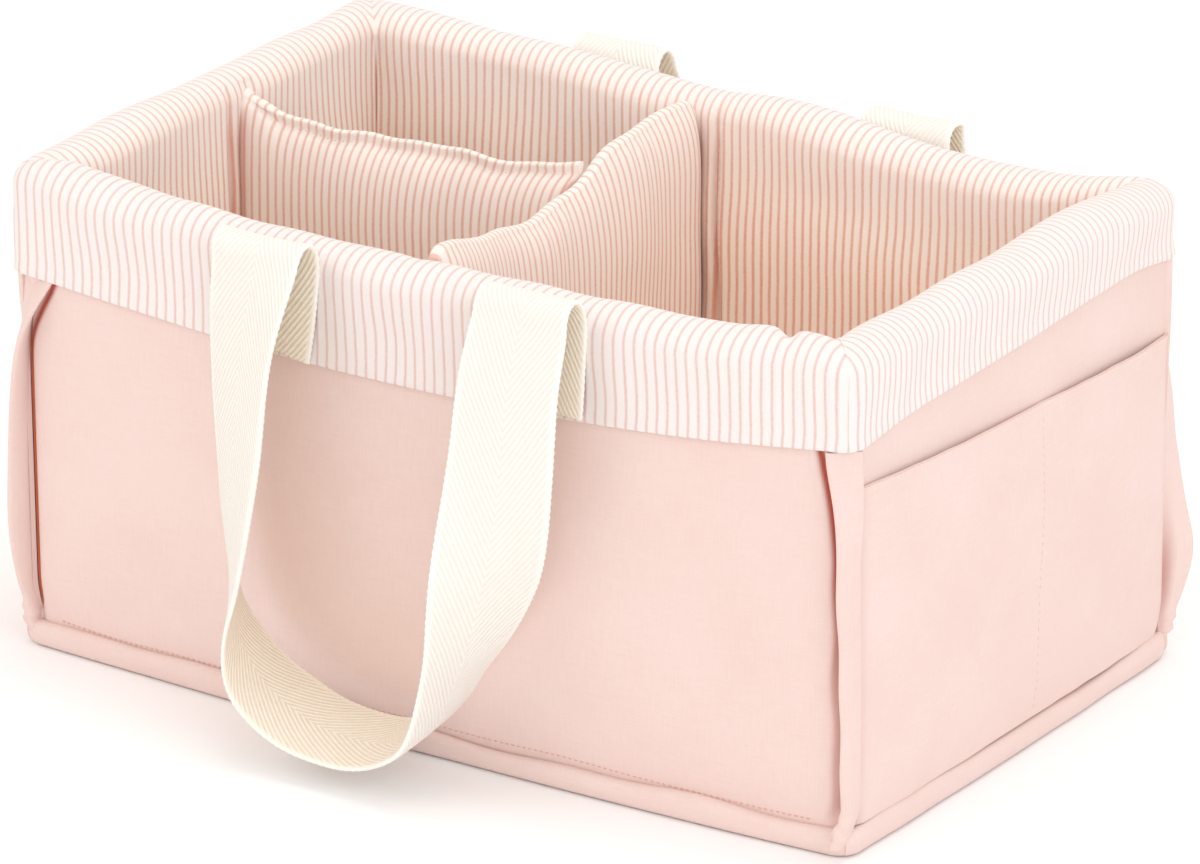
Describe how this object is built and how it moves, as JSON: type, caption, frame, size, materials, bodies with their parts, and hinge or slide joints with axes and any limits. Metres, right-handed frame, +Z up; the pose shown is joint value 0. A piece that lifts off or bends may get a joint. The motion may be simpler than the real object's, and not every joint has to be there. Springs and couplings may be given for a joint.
{
  "type": "diaper caddy",
  "caption": "Soft open-topped caddy with padded walls, striped lining turned over as a cuff, sewn-in padded dividers, end patch pockets and twisted webbing handles that swing.",
  "frame": {"origin": "on the floor under the middle of the box", "axes": "+X along the length to the right end, +Y to the rear, +Z up"},
  "size_m": [0.3434, 0.285, 0.168],
  "materials": {
    "pink_cotton": "matt plain weave",
    "striped_cotton": "matt woven stripe",
    "wadding": "soft fibre fill",
    "cream_webbing": "herringbone webbing",
    "base_board": "plain board"
  },
  "bodies": {
    "caddy_body": {"outer_front_panel": "pink_cotton", "outer_right_panel": "pink_cotton", "outer_back_panel": "pink_cotton", "outer_left_panel": "pink_cotton", "base_welt_front": "pink_cotton", "base_welt_right": "pink_cotton", "base_welt_back": "pink_cotton", "base_welt_left": "pink_cotton", "corner_welt_front_left": "pink_cotton", "corner_welt_front_right": "pink_cotton", "corner_welt_back_left": "pink_cotton", "corner_welt_back_right": "pink_cotton", "pocket_left": "pink_cotton", "pocket_right": "pink_cotton", "outer_base_panel": "pink_cotton", "lining_front": "striped_cotton", "lining_right": "striped_cotton", "lining_back": "striped_cotton", "lining_left": "striped_cotton", "lining_base": "striped_cotton", "cross_divider_cover": "striped_cotton", "long_divider_cover": "striped_cotton", "front_wall_padding": "wadding", "right_wall_padding": "wadding", "back_wall_padding": "wadding", "left_wall_padding": "wadding", "base_padding": "wadding", "cross_divider_padding": "wadding", "long_divider_padding": "wadding", "front_handle_anchor_left": "cream_webbing", "front_handle_anchor_right": "cream_webbing", "rear_handle_anchor_left": "cream_webbing", "rear_handle_anchor_right": "cream_webbing", "base_board": "base_board"},
    "front_handle": {"front_handle_loop": "cream_webbing"},
    "rear_handle": {"rear_handle_loop": "cream_webbing"}
  },
  "joints": [
    {"name": "front_handle_swing", "type": "hinge", "parent": "caddy_body", "child": "front_handle", "pos_m": [0, -0.10879, 0.16063], "axis": [-1, 0, 0], "range_deg": [0, 200]},
    {"name": "rear_handle_swing", "type": "hinge", "parent": "caddy_body", "child": "rear_handle", "pos_m": [0, 0.10879, 0.16063], "axis": [1, 0, 0], "range_deg": [0, 200]}
  ]
}
